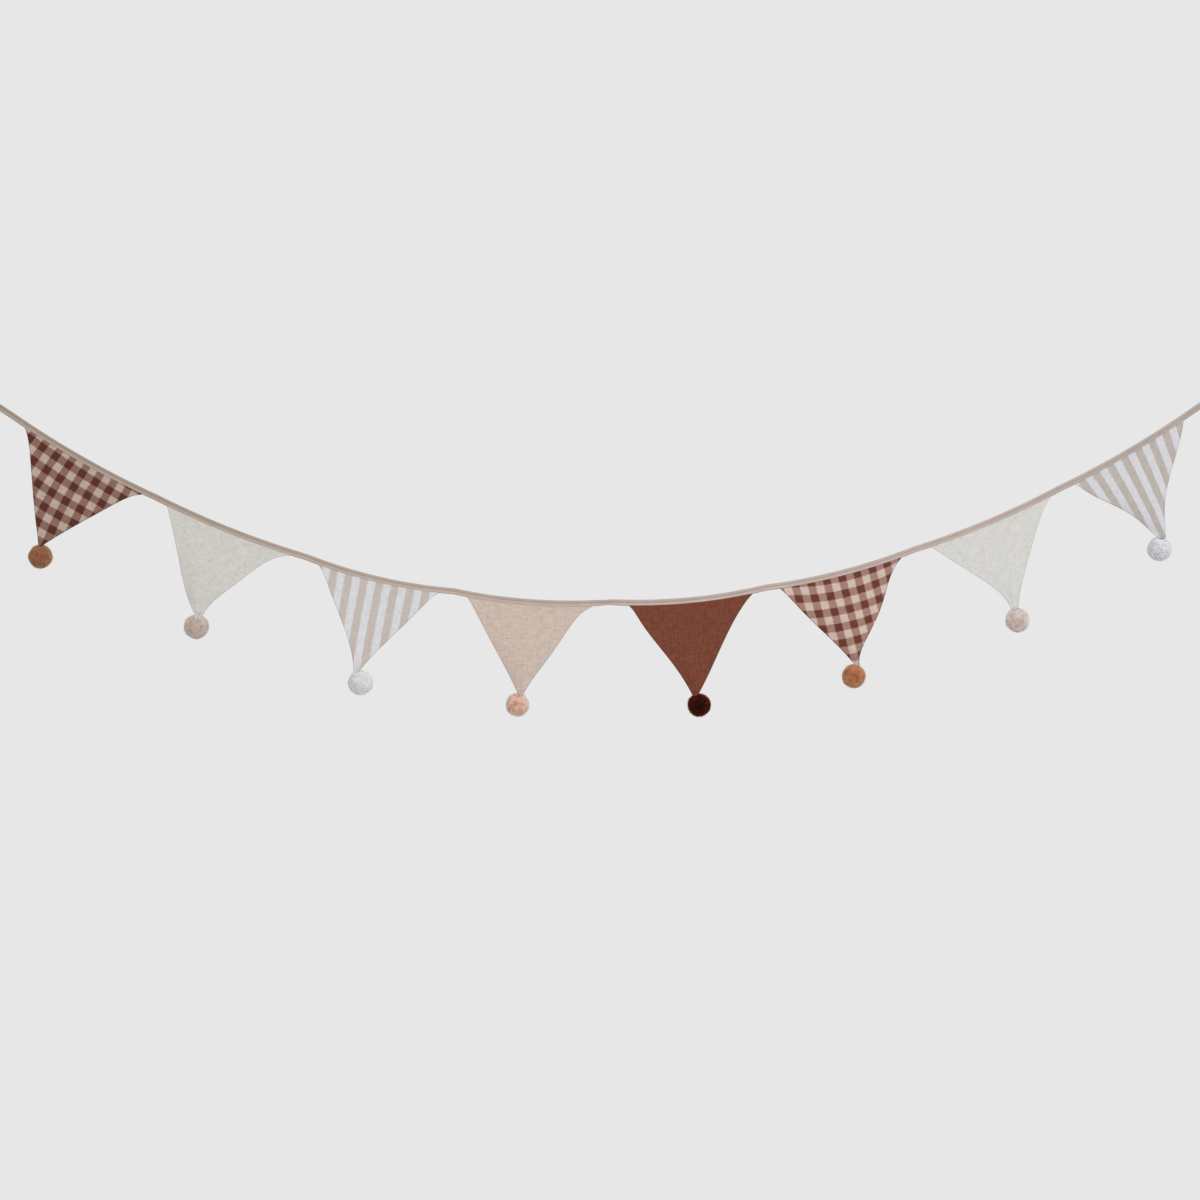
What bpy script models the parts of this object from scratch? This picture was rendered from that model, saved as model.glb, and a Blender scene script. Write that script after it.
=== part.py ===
"""Fabric bunting: a folded binding that hangs in a swag and carries eight two-layer cloth pennants,
each with a yarn pompom on its point.

Metres, +Z up, +X along the bunting, the front towards -Y. The origin is the binding's left hanging end.
"""

import math
import random
from collections import namedtuple

import bmesh
import bpy
from mathutils import Vector

# The binding: a strip of bias tape, folded lengthwise over the pennants' top edges.
SPAN = 2.0  # between its two hanging ends
SAG_RADIUS = 1.522  # of the catenary that it hangs in, at its lowest point
BINDING_HEIGHT = 0.010
FRONT_LEAF_SHORTER = 0.0007  # the back leaf shows below the front one
BINDING_AT_PENNANT = 0.0031  # thickness over a pennant
BINDING_ALONE = 0.0021  # thickness between pennants
THINNING_LENGTH = 0.012
SLOT_END_WALL = 0.0020  # full thickness runs on this far past a pennant's corner
STEPS_OVER_PENNANT = 8
STEPS_OVER_GAP = 5
STEPS_ALONG_SLOT = 7
LEAF_OUTLINE = ((0.72, 0.86), (1.0, 0.45), (0.86, -0.05), (1.0, -0.55))  # shares of half its section
LEAF_FOOT = 0.80  # share of half thickness at a leaf's lower edge

# The pennants: front and back sewn together along the two sides and turned.
CLOTH = 0.0011
TOP_IN_BINDING = 0.0070
CLEARANCE = 0.0003
TONGUE_HALF_WIDTH = 0.0030  # of the point's end inside the pompom
TONGUE_ROWS = 2
RIPPLE_HALF_WIDTH = 0.35  # of a soft fold, as a share of the pennant's half width
FLARE_SHARE = 0.06  # share of the height in which a corner's flare dies out
BOW_AT = (0.0, 0.30, 0.60, 0.86, 1.0)  # shares of a side's height where its bows are given
CLOTH_COLUMNS = 10
CLOTH_ROWS = 14

# The pompoms: a core of bound yarn, with locks of cut yarn standing out of it.
CORE_CORNER_RADIUS = 0.0150
LOCK_ROOT_GAP = 0.0010
LOCK_SPREAD = 1.38  # of a lock's tip, against its root
LOCK_FACE_SHARE = 0.915  # a tip's corners lie on the ball, so its face lies lower
LOCK_UNEVENNESS = 0.0006
GOLDEN = (1 + math.sqrt(5)) / 2
FACE_CENTRE_SHARE = math.sqrt(3) / math.sqrt(GOLDEN + 2)  # keeps the core's thirty rhombs flat

# How far a side bows out from the straight line between its corner and the neck, and its corner's flare.
Side = namedtuple("Side", "upper middle lower flare")

# middle: along the binding from its left end. width: of the top edge. sag: how far the binding dips over
# this pennant. drop: from the binding's centreline to the neck, where the point meets the pompom. lean: of
# the neck along the binding. neck: its half width. swing: the pompom's angle from plumb, in degrees. ball:
# its radius. tip, belly, turn: how far the point, the middle and the right half hang forwards. ripple: the
# height of the soft fold that runs down from ripple_at, a share of the half width.
Pennant = namedtuple(
    "Pennant",
    "middle width sag drop lean neck swing ball left right tip belly turn ripple ripple_at cloth yarn",
)
PENNANTS = (
    Pennant(0.2094, 0.2155, 0.0015, 0.1496, 0.0080, 0.0047, -4.5, 0.0196,
            Side(-0.0002, 0.0008, 0.0004, 0.0050), Side(-0.0012, -0.0021, -0.0017, 0.0090),
            0.004, 0.003, -0.003, 0.0015, 0.3, "A87E6C", "85563D"),
    Pennant(0.4670, 0.2126, 0.0010, 0.1428, 0.0055, 0.0072, -11, 0.0202,
            Side(0.0030, 0.0062, 0.0060, 0.0021), Side(-0.0101, -0.0097, -0.0074, 0.0090),
            0.002, 0.005, 0.004, 0.0020, 0.5, "CFCCC4", "B2A094"),
    Pennant(0.7195, 0.1959, 0.0044, 0.1493, -0.0007, 0.0061, 16.5, 0.0203,
            Side(-0.0007, -0.0065, -0.0055, 0.0072), Side(0.0028, 0.0, -0.0013, 0.0083),
            0.006, 0.002, -0.004, 0.0015, -0.4, "D2C9C4", "CFCFD1"),
    Pennant(0.9630, 0.2000, 0.0038, 0.1460, -0.0041, 0.0056, -14, 0.0191,
            Side(0.0002, -0.0006, -0.0011, 0.0019), Side(-0.0024, -0.0014, -0.0023, 0.0090),
            0.003, 0.006, 0.002, 0.0025, 0.2, "CAB9AC", "C79D83"),
    Pennant(1.2210, 0.1979, 0.0038, 0.1492, -0.0070, 0.0062, 16, 0.0192,
            Side(0.0051, -0.0003, -0.0019, 0.0074), Side(-0.0051, -0.0028, -0.0002, 0.0024),
            0.005, 0.003, -0.002, 0.0018, -0.3, "764638", "270E0C"),
    Pennant(1.4642, 0.2004, 0.0030, 0.1476, -0.0116, 0.0052, -15, 0.0194,
            Side(0.0018, -0.0001, -0.0014, 0.0030), Side(-0.0047, -0.0036, -0.0079, 0.0),
            0.001, 0.004, 0.004, 0.0020, -0.2, "A87E6C", "9C6343"),
    Pennant(1.7179, 0.2073, 0.0015, 0.1424, -0.0193, 0.0064, 14, 0.0198,
            Side(-0.0052, -0.0104, -0.0086, 0.0), Side(-0.0041, -0.0051, -0.0036, 0.0061),
            0.004, 0.005, -0.005, 0.0020, 0.4, "D6D3CF", "BDADA5"),
    Pennant(1.9656, 0.2015, 0.0014, 0.1430, -0.0252, 0.0076, -6.5, 0.0197,
            Side(0.0038, -0.0048, -0.0030, 0.0090), Side(-0.0028, -0.0115, -0.0056, 0.0050),
            0.003, 0.003, 0.003, 0.0015, -0.5, "D2C9C4", "C9C9CD"),
)
BINDING_COLOUR = "B0A094"
CLOTH_ROUGHNESS = 0.9
HALF_LENGTH = SAG_RADIUS * math.sinh(SPAN / 2 / SAG_RADIUS)
MIDDLE_GAPS = [
    (left.middle + left.width / 2 + right.middle - right.width / 2) / 2
    for left, right in zip(PENNANTS, PENNANTS[1:])
]
FIRST_REACH = MIDDLE_GAPS[0] - PENNANTS[0].middle
LAST_REACH = PENNANTS[-1].middle - MIDDLE_GAPS[-1]
REACHES = list(
    zip(
        [FIRST_REACH] + [p.middle - gap for p, gap in zip(PENNANTS[1:], MIDDLE_GAPS)],
        [gap - p.middle for p, gap in zip(PENNANTS, MIDDLE_GAPS)] + [LAST_REACH],
    )
)


def clear_scene():
    for thing in list(bpy.data.objects):
        bpy.data.objects.remove(thing, do_unlink=True)


def new_collection(name):
    made = bpy.data.collections.new(name)
    bpy.context.scene.collection.children.link(made)
    return made


def linear(hex_colour):
    """The linear colour of an sRGB hex colour, with alpha 1."""
    channels = [int(hex_colour[i : i + 2], 16) / 255 for i in (0, 2, 4)]
    return [c / 12.92 if c <= 0.04045 else ((c + 0.055) / 1.055) ** 2.4 for c in channels] + [1.0]


def new_material(name, hex_colour):
    made = bpy.data.materials.new(name)
    made.use_nodes = True
    surface = made.node_tree.nodes["Principled BSDF"]
    surface.inputs["Base Color"].default_value = linear(hex_colour)
    surface.inputs["Roughness"].default_value = CLOTH_ROUGHNESS
    surface.inputs["Metallic"].default_value = 0.0
    return made


def new_object(name, mesh_data, collection, hex_colour):
    """An object of these bmesh faces, with its own material."""
    mesh = bpy.data.meshes.new(name)
    mesh_data.to_mesh(mesh)
    mesh_data.free()
    mesh.materials.append(new_material(name, hex_colour))
    made = bpy.data.objects.new(name, mesh)
    collection.objects.link(made)
    return made


def smooth(share):
    share = min(max(share, 0.0), 1.0)
    return share * share * (3 - 2 * share)


def binding_dip(length):
    """How far a pennant's weight pulls the binding down here: nothing midway between two pennants."""
    for pennant, reach in zip(PENNANTS, REACHES):
        share = (length - pennant.middle) / (reach[1] if length > pennant.middle else reach[0])
        if abs(share) < 1:
            return pennant.sag * (1 - share * share)
    return 0.0


def binding_frame(length):
    """The binding's centre at this length from its left end, its direction, and the way to its top."""
    from_middle = length - HALF_LENGTH
    root = math.hypot(SAG_RADIUS, from_middle)
    direction = Vector((SAG_RADIUS / root, 0, from_middle / root))
    upwards = Vector((-direction.z, 0, direction.x))
    x = SPAN / 2 + SAG_RADIUS * math.asinh(from_middle / SAG_RADIUS)
    z = root - math.hypot(SAG_RADIUS, HALF_LENGTH)
    return Vector((x, 0, z)) - binding_dip(length) * upwards, direction, upwards


def binding_thickness(length):
    """Full over a pennant, and less in the gaps between them."""
    outside = min(abs(length - p.middle) - p.width / 2 for p in PENNANTS)
    thinned = smooth((outside - SLOT_END_WALL) / THINNING_LENGTH)
    return BINDING_AT_PENNANT + (BINDING_ALONE - BINDING_AT_PENNANT) * thinned


def binding_section(thickness):
    """Points (depth, height) round the folded strip: the fold on top, and the two leaves' lower edges."""
    half, top = thickness / 2, BINDING_HEIGHT / 2
    back = [(out * half, up * top) for out, up in LEAF_OUTLINE]
    front = [(-out, up) for out, up in back]
    feet = [(-LEAF_FOOT * half, FRONT_LEAF_SHORTER - top), (LEAF_FOOT * half, -top)]
    return [(0.0, top)] + front + feet + back[::-1]


def loft(stations, sections):
    """A closed solid through the sections, each placed on the binding's line at its station."""
    solid = bmesh.new()
    rings = []
    for length, section in zip(stations, sections):
        centre, _, upwards = binding_frame(length)
        rings.append([solid.verts.new(centre + Vector((0, y, 0)) + z * upwards) for y, z in section])
    for ring, after in zip(rings, rings[1:]):
        for i in range(len(ring)):
            solid.faces.new((ring[i - 1], ring[i], after[i], after[i - 1]))
    solid.faces.new(rings[0])
    solid.faces.new(rings[-1])
    bmesh.ops.recalc_face_normals(solid, faces=solid.faces)
    return solid


def steps(start, end, count):
    return [start + (end - start) * i / count for i in range(count + 1)]


def make_binding(collection, cutters):
    stations = []
    reached = 0.0
    for pennant in PENNANTS:
        reach = pennant.width / 2 + SLOT_END_WALL
        start, end = pennant.middle - reach, pennant.middle + reach
        stations += steps(reached, start, STEPS_OVER_GAP)[:-1] + steps(start, end, STEPS_OVER_PENNANT)[:-1]
        reached = end
    stations += steps(reached, 2 * HALF_LENGTH, STEPS_OVER_GAP)
    sections = [binding_section(binding_thickness(length)) for length in stations]
    binding = new_object("binding", loft(stations, sections), collection, BINDING_COLOUR)
    half = CLOTH / 2 + CLEARANCE
    slot_top = TOP_IN_BINDING - BINDING_HEIGHT / 2 + CLEARANCE
    slot = [(-half, slot_top), (-half, -BINDING_HEIGHT), (half, -BINDING_HEIGHT), (half, slot_top)]
    for number, pennant in enumerate(PENNANTS, 1):
        reach = pennant.width / 2 + CLEARANCE
        stations = steps(pennant.middle - reach, pennant.middle + reach, STEPS_ALONG_SLOT)
        room = loft(stations, [slot] * len(stations))
        cutter = new_object(f"slot_{number}", room, cutters, BINDING_COLOUR)
        cutter.hide_render = True
        cutter.display_type = "WIRE"
        cut = binding.modifiers.new(cutter.name, "BOOLEAN")
        cut.operation = "DIFFERENCE"
        cut.solver = "EXACT"
        cut.object = cutter


def side_bow(side, share):
    """How far the side stands out at this share of its height: a smooth line through its bows, and flare."""
    bows = (0.0, side.upper, side.middle, side.lower, 0.0)
    out = side.flare * math.exp(-share / FLARE_SHARE)
    for at, bow in zip(BOW_AT, bows):
        others = [other for other in BOW_AT if other != at]
        out += bow * math.prod((share - other) / (at - other) for other in others)
    return out


def neck_frame(pennant):
    """The neck's centre where it meets the pompom, the way down into the pompom, and the way across."""
    centre, direction, upwards = binding_frame(pennant.middle)
    neck = centre + pennant.lean * direction - pennant.drop * upwards
    neck.y = -pennant.tip
    angle = math.radians(pennant.swing)
    down = Vector((math.sin(angle), 0, -math.cos(angle)))
    return neck, down, Vector((-down.z, 0, down.x))


def cloth_depth(pennant, across, share):
    """How far the cloth stands forwards. across runs from -1 to 1, share from the binding to the neck."""
    loose = 27 / 4 * share * share * (1 - share)  # nothing at both ends, and 1 two thirds of the way down
    ripple = pennant.ripple * math.exp(-(((across - pennant.ripple_at) / RIPPLE_HALF_WIDTH) ** 2))
    return pennant.tip * smooth(share) + loose * (
        pennant.belly * (1 - across * across) + pennant.turn * across + ripple
    )


def cloth_row(pennant, share):
    """The left and right ends of the cloth at this share of the way from the binding to the neck."""
    _, direction, upwards = binding_frame(pennant.middle)
    neck, _, right_way = neck_frame(pennant)
    ends = []
    for side, sign in ((pennant.left, -1), (pennant.right, 1)):
        corner, _, _ = binding_frame(pennant.middle + sign * (pennant.width / 2 - side.flare))
        corner = corner - BINDING_HEIGHT / 2 * upwards
        foot = neck + sign * pennant.neck * right_way
        end = corner.lerp(foot, share) + sign * side_bow(side, share) * direction
        ends.append(Vector((end.x, 0, end.z)))
    return ends


def make_pennant(number, pennant, collection):
    """A sheet of rows, from the top edge inside the binding down to the point's end inside the pompom."""
    _, _, upwards = binding_frame(pennant.middle)
    neck, down, right_way = neck_frame(pennant)
    acrosses = steps(-1.0, 1.0, CLOTH_COLUMNS)
    line = [binding_frame(pennant.middle + across * pennant.width / 2)[0] for across in acrosses]
    rows = []
    for share in steps(0.0, 1.0, CLOTH_ROWS):
        left, right = cloth_row(pennant, share)
        row = []
        for across, hung in zip(acrosses, line):
            sag = hung - line[0].lerp(line[-1], (across + 1) / 2)
            point = left.lerp(right, (across + 1) / 2) + (1 - share) * sag
            point.y = -cloth_depth(pennant, across, share)
            row.append(point)
        rows.append(row)
    tops = [[point + lift * upwards for point in rows[0]] for lift in (TOP_IN_BINDING, TOP_IN_BINDING / 2)]
    tongue_length = pennant.ball - core_face_radius() - CLEARANCE
    tongue = []
    for share in steps(0.0, 1.0, TONGUE_ROWS)[1:]:
        half_width = pennant.neck + (TONGUE_HALF_WIDTH - pennant.neck) * share
        centre = neck + tongue_length * share * down
        tongue.append([centre + half_width * across * right_way for across in acrosses])
    rows = tops + rows + tongue

    cloth = bmesh.new()
    bmesh.ops.create_grid(cloth, x_segments=CLOTH_COLUMNS, y_segments=len(rows) - 1, size=1.0)
    cloth.verts.ensure_lookup_table()
    for index, point in enumerate(point for row in rows[::-1] for point in row):
        cloth.verts[index].co = point
    made = new_object(f"pennant_{number}", cloth, collection, pennant.cloth)
    made.data.shade_smooth()
    thicken = made.modifiers.new("two layers", "SOLIDIFY")
    thicken.thickness = CLOTH
    thicken.offset = 0.0


def core_face_radius():
    """From the pompom's centre to the middle of a face of its core, an icosahedron's edge middle."""
    return CORE_CORNER_RADIUS * GOLDEN / math.sqrt(GOLDEN + 2)


def make_pompom(number, pennant, collection):
    """Thirty flat rhombs make the core. One seats the pennant's point, and a lock stands on each other."""
    chance = random.Random(number)
    ball = bmesh.new()
    bmesh.ops.create_icosphere(ball, subdivisions=1, radius=CORE_CORNER_RADIUS)
    ball.edges.ensure_lookup_table()
    edge = ball.edges[0]
    upwards = (edge.verts[0].co + edge.verts[1].co).normalized()
    sideways = (edge.verts[1].co - edge.verts[0].co).normalized()
    forwards = upwards.cross(sideways)
    for vertex in ball.verts:
        vertex.co = Vector((vertex.co.dot(sideways), vertex.co.dot(forwards), vertex.co.dot(upwards)))
    triangle_edges = list(ball.edges)
    poked = bmesh.ops.poke(ball, faces=ball.faces)
    for vertex in poked["verts"]:
        vertex.co = vertex.co.normalized() * CORE_CORNER_RADIUS * FACE_CENTRE_SHARE
    bmesh.ops.dissolve_edges(ball, edges=triangle_edges)
    seat = max(ball.faces, key=lambda face: face.calc_center_median().z)
    roots = [face for face in ball.faces if face != seat]
    bmesh.ops.inset_individual(ball, faces=roots, thickness=LOCK_ROOT_GAP, use_even_offset=True)
    tips = bmesh.ops.extrude_discrete_faces(ball, faces=roots)["faces"]
    for tip in tips:
        middle = tip.calc_center_median()
        way = middle.normalized()
        reach = LOCK_FACE_SHARE * pennant.ball + chance.uniform(-LOCK_UNEVENNESS, 0) - middle.length
        for vertex in tip.verts:
            vertex.co = middle + LOCK_SPREAD * (vertex.co - middle) + reach * way
    crowns = bmesh.ops.poke(ball, faces=tips)["verts"]
    for crown in crowns:
        crown.co = crown.co.normalized() * pennant.ball
    bmesh.ops.recalc_face_normals(ball, faces=ball.faces)
    made = new_object(f"pompom_{number}", ball, collection, pennant.yarn)
    neck, down, _ = neck_frame(pennant)
    made.location = neck + pennant.ball * down
    made.rotation_euler = (0, -math.radians(pennant.swing), 0)


clear_scene()
bunting = new_collection("fabric_bunting")
slot_cutters = new_collection("slot_cutters")
make_binding(bunting, slot_cutters)
for count, each in enumerate(PENNANTS, 1):
    make_pennant(count, each, bunting)
    make_pompom(count, each, bunting)
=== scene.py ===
"""Fabric bunting: its visual model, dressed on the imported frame.

Metres, +Z up, +X along the bunting, the front towards -Y. The origin is the binding's left hanging end.
"""

import math
import random
from collections import namedtuple

import bmesh
import bpy
from mathutils import Matrix, Vector, noise


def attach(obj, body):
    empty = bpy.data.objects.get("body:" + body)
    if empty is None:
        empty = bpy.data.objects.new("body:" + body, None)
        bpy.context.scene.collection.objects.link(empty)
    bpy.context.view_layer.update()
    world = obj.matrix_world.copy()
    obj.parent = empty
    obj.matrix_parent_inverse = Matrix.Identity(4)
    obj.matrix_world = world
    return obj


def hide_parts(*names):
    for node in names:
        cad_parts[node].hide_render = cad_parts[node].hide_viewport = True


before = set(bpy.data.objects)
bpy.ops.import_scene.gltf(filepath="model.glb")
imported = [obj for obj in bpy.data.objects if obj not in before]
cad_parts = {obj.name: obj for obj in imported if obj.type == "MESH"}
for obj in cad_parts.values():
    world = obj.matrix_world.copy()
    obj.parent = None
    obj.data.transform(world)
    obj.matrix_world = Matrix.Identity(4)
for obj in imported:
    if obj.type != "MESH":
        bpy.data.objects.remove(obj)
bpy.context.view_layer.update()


# The room: a pale floor well below the bunting, even pale daylight, and one large soft lamp at the upper
# right. The camera stands straight in front of the swag, and both of its ends run out of the view.
ROOM_GREY = "E7E7E7"
FLOOR_TINTS = ("DEDCD8", "E2E0DC")
FLOOR_ROUGHNESS = 0.8
ROLLED_RATE = 9.0  # patches of the rolled paint, about 0.1 m apart
VIEW_WIDTH = 1.92  # at the bunting
VIEW_DEPTH = 50
VIEW_CENTRE = Vector((1.0020, 0.0, -0.3368))
LENS_MM = 100
SENSOR_MM = 36
LAMP_PLACE = Vector((3.4, -7.0, 2.7))
LAMP_SIZE = 4.0
LAMP_WATTS = 250
FLOOR_LEVEL = -1.9
FLOOR_RADIUS = 2.4
FLOOR_SEGMENTS = 96


def linear(hex_colour):
    """The linear colour of an sRGB hex colour, with alpha 1."""
    channels = [int(hex_colour[i : i + 2], 16) / 255 for i in (0, 2, 4)]
    return [c / 12.92 if c <= 0.04045 else ((c + 0.055) / 1.055) ** 2.4 for c in channels] + [1.0]


def node(tree, kind, sockets=None, **settings):
    """Adds a shader node. Settings go on it, and its sockets get a value or another node's output."""
    made = tree.nodes.new("ShaderNode" + kind)
    for name, value in settings.items():
        setattr(made, name, value)
    for name, value in (sockets or {}).items():
        if isinstance(value, bpy.types.NodeSocket):
            tree.links.new(value, made.inputs[name])
        else:
            made.inputs[name].default_value = value
    return made


def new_material(name, roughness, **constants):
    """A material with only its Principled shader, whose constants are set on its own sockets."""
    made = bpy.data.materials.new(name)
    made.use_nodes = True
    shader = made.node_tree.nodes["Principled BSDF"]
    shader.inputs["Roughness"].default_value = roughness
    for socket, value in constants.items():
        shader.inputs[socket.replace("_", " ")].default_value = value
    return made, made.node_tree, shader


def new_piece(name, mesh_data, material):
    """A smooth object with this mesh and material."""
    mesh = bpy.data.meshes.new(name)
    mesh_data.to_mesh(mesh)
    mesh_data.free()
    mesh.materials.append(material)
    mesh.shade_smooth()
    made = bpy.data.objects.new(name, mesh)
    bpy.context.scene.collection.objects.link(made)
    return made


camera = bpy.data.objects.new("camera", bpy.data.cameras.new("camera"))
camera.data.lens = LENS_MM
camera.data.sensor_width = SENSOR_MM
camera.data.clip_end = VIEW_DEPTH
camera.location = VIEW_CENTRE + Vector((0, -VIEW_WIDTH * LENS_MM / SENSOR_MM, 0))
camera.rotation_euler = (math.pi / 2, 0, 0)
bpy.context.scene.collection.objects.link(camera)
bpy.context.scene.camera = camera

daylight = bpy.data.worlds.new("daylight")
daylight.use_nodes = True
daylight.node_tree.nodes["Background"].inputs["Color"].default_value = linear(ROOM_GREY)
bpy.context.scene.world = daylight
bpy.context.scene.view_settings.view_transform = "Standard"

lamp = bpy.data.objects.new("lamp", bpy.data.lights.new("lamp", "AREA"))
lamp.data.size = LAMP_SIZE
lamp.data.energy = LAMP_WATTS
lamp.location = LAMP_PLACE
lamp.rotation_euler = (VIEW_CENTRE - LAMP_PLACE).to_track_quat("-Z", "Y").to_euler()
bpy.context.scene.collection.objects.link(lamp)

# Painted board, rolled, which leaves a faint unevenness.
board, tree, shader = new_material("rolled_floor_paint", FLOOR_ROUGHNESS)
spot = node(tree, "TexCoord").outputs["Object"]
rolled = node(tree, "TexNoise", {"Vector": spot, "Scale": ROLLED_RATE}).outputs["Fac"]
darker, lighter = (linear(tint) for tint in FLOOR_TINTS)
tint = node(tree, "MixRGB", {"Fac": rolled, "Color1": darker, "Color2": lighter})
tree.links.new(tint.outputs[0], shader.inputs["Base Color"])
disc = bmesh.new()
bmesh.ops.create_circle(disc, cap_ends=True, segments=FLOOR_SEGMENTS, radius=FLOOR_RADIUS)
bmesh.ops.translate(disc, verts=disc.verts, vec=(VIEW_CENTRE.x, 0, FLOOR_LEVEL))
floor = new_piece("floor", disc, board)


# Binding: cotton bias tape, 10 mm high once folded, that is folded lengthwise over the pennants' top edges.
# One row of stitches runs along its middle through both leaves and draws them in.
SPAN = 2.0  # between its two hanging ends
SAG_RADIUS = 1.522  # of the catenary that it hangs in
BINDING_HEIGHT = 0.010
FRONT_LEAF_SHORTER = 0.0007
LEAF_FOOT = 0.0024  # height of the lower part of a leaf that this shortens
BINDING_AT_PENNANT = 0.0031  # thickness over a pennant
BINDING_ALONE = 0.0021  # thickness between pennants
THINNING_LENGTH = 0.012
HELD_PAST_CORNER = 0.002  # full thickness runs on this far past a pennant's corner
SLOT_TOP = 0.0023  # above the centreline
SLOT_HALF = 0.00065
SLOT_SHUT_HALF = 0.0001
DRAWN_IN = 0.78  # share of half the thickness left at the stitches
DRAWN_IN_VARIES = 0.06
DRAWN_IN_RATE = 60
HALF_LENGTH = SAG_RADIUS * math.sinh(SPAN / 2 / SAG_RADIUS)
STATION_STEP = 0.005
STITCH_LINE = 0.0002  # above the centreline
STITCH_PITCH = 0.0030
STITCH_LENGTH = 0.0023
STITCH_RADIUS = 0.00021
STITCH_SEAT = 0.80  # share of half the thickness that a stitch lies on
STITCH_PROUD = 0.4  # of its radius, outside its seat
THREAD_BEIGE = "B3A398"
THREAD_PITCH = 0.0009  # drawn a little coarser than the real 0.6 mm, so that it shows
THREAD_WANDER = 1.6  # in thread pitches
THREAD_WANDER_RATE = 0.12  # for each thread pitch
SLUB_RATES = (0.09, 1.3)  # along a thread and across it, for each thread pitch

# middle: along the binding. width: of the pennant's top edge. sag: how far its weight pulls the tape down.
Cell = namedtuple("Cell", "middle width sag")
CELLS = (
    Cell(0.2094, 0.2155, 0.0015),
    Cell(0.4670, 0.2126, 0.0010),
    Cell(0.7195, 0.1959, 0.0044),
    Cell(0.9630, 0.2000, 0.0038),
    Cell(1.2210, 0.1979, 0.0038),
    Cell(1.4642, 0.2004, 0.0030),
    Cell(1.7179, 0.2073, 0.0015),
    Cell(1.9656, 0.2015, 0.0014),
)
GAP_MIDDLES = [(a.middle + a.width / 2 + b.middle - b.width / 2) / 2 for a, b in zip(CELLS, CELLS[1:])]

# Where the tape turns over a little. at: along the tape. turn: in degrees. spread: how far it is felt.
Twist = namedtuple("Twist", "at turn spread")
TWISTS = (
    Twist(0.338, 7, 0.016),
    Twist(0.592, -9, 0.014),
    Twist(1.086, 26, 0.015),
    Twist(1.343, -8, 0.013),
    Twist(1.590, 9, 0.012),
    Twist(1.842, -7, 0.014),
)

# The tape's colours, which vary a little along it, partly from uneven dye and partly as painted light.
# at: along it. upper, lower: its colours above and below the seam, the upper darker as painted shade and
# the lower lighter as painted light on the lip.
Tint = namedtuple("Tint", "at upper lower")
TAPE_LIT_TINTS = (
    Tint(0.21, "998B7E", "AA978A"),
    Tint(0.72, "AE9C90", "B7A79C"),
    Tint(1.22, "B1A39B", "BEABA2"),
    Tint(1.72, "B9A99F", "B7A9A1"),
    Tint(1.97, "B1A59B", "AB9F98"),
)


def smooth(share):
    """0 up to 0, 1 from 1 on, and a soft step between them."""
    share = min(max(share, 0.0), 1.0)
    return share * share * (3 - 2 * share)


def binding_dip(length):
    """How far the binding hangs below its catenary here: nothing midway between two pennants."""
    for number, cell in enumerate(CELLS):
        before = GAP_MIDDLES[max(number - 1, 0)]
        after = GAP_MIDDLES[min(number, len(GAP_MIDDLES) - 1)]
        left = cell.middle - before if number else after - cell.middle
        right = after - cell.middle if number < len(GAP_MIDDLES) else cell.middle - before
        share = (length - cell.middle) / (right if length > cell.middle else left)
        if abs(share) < 1:
            return cell.sag * (1 - share * share)
    return 0.0


def binding_frame(length):
    """The binding's centre this far along it, its direction there, and the way to its upper edge."""
    from_middle = length - HALF_LENGTH
    root = math.hypot(SAG_RADIUS, from_middle)
    direction = Vector((SAG_RADIUS / root, 0, from_middle / root))
    upwards = Vector((-direction.z, 0, direction.x))
    x = SPAN / 2 + SAG_RADIUS * math.asinh(from_middle / SAG_RADIUS)
    z = root - math.hypot(SAG_RADIUS, HALF_LENGTH)
    return Vector((x, 0, z)) - binding_dip(length) * upwards, direction, upwards


def half_depth(length):
    """Half the tape's thickness here."""
    return (BINDING_ALONE + (BINDING_AT_PENNANT - BINDING_ALONE) * over_pennant(length)) / 2


def over_pennant(length):
    """1 where the tape holds a pennant, and 0 in the gaps between them."""
    outside = min(abs(length - cell.middle) - cell.width / 2 for cell in CELLS)
    return 1 - smooth((outside - HELD_PAST_CORNER) / THINNING_LENGTH)


def tape_section(length):
    """Points (depth, height) once round the folded tape, from its slot down one leaf and up the other."""
    half = half_depth(length)
    slot = SLOT_SHUT_HALF + (SLOT_HALF - SLOT_SHUT_HALF) * over_pennant(length)
    top = BINDING_HEIGHT / 2
    drawn_in = DRAWN_IN + DRAWN_IN_VARIES * noise.noise(Vector((length * DRAWN_IN_RATE, 3, 0)))
    leaf = [
        (slot, SLOT_TOP - 0.0004),
        (slot, -0.0010),
        (slot, -0.0034),
        (slot + 0.15 * (half - slot), 0.00030 - top),
        (slot + 0.45 * (half - slot), -top),
        (half * 0.82, 0.00025 - top),
        (half * 0.93, 0.00100 - top),
        (half * 0.98, 0.00230 - top),
        (half * 0.97, STITCH_LINE - 0.0014),
        (half * 0.90, STITCH_LINE - 0.0006),
        (half * drawn_in, STITCH_LINE),
        (half * 0.90, STITCH_LINE + 0.0006),
        (half * 0.98, STITCH_LINE + 0.0015),
        (half * 0.97, STITCH_LINE + 0.0027),
        (half * 0.84, STITCH_LINE + 0.0037),
        (half * 0.52, STITCH_LINE + 0.0044),
    ]
    front = []
    for depth, height in leaf:
        shorter = FRONT_LEAF_SHORTER if height < LEAF_FOOT - top else 0
        front.append((-depth, height + shorter))
    return [(0.0, SLOT_TOP), *front, (0.0, top), *leaf[::-1], (0.0, SLOT_TOP)]


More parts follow.
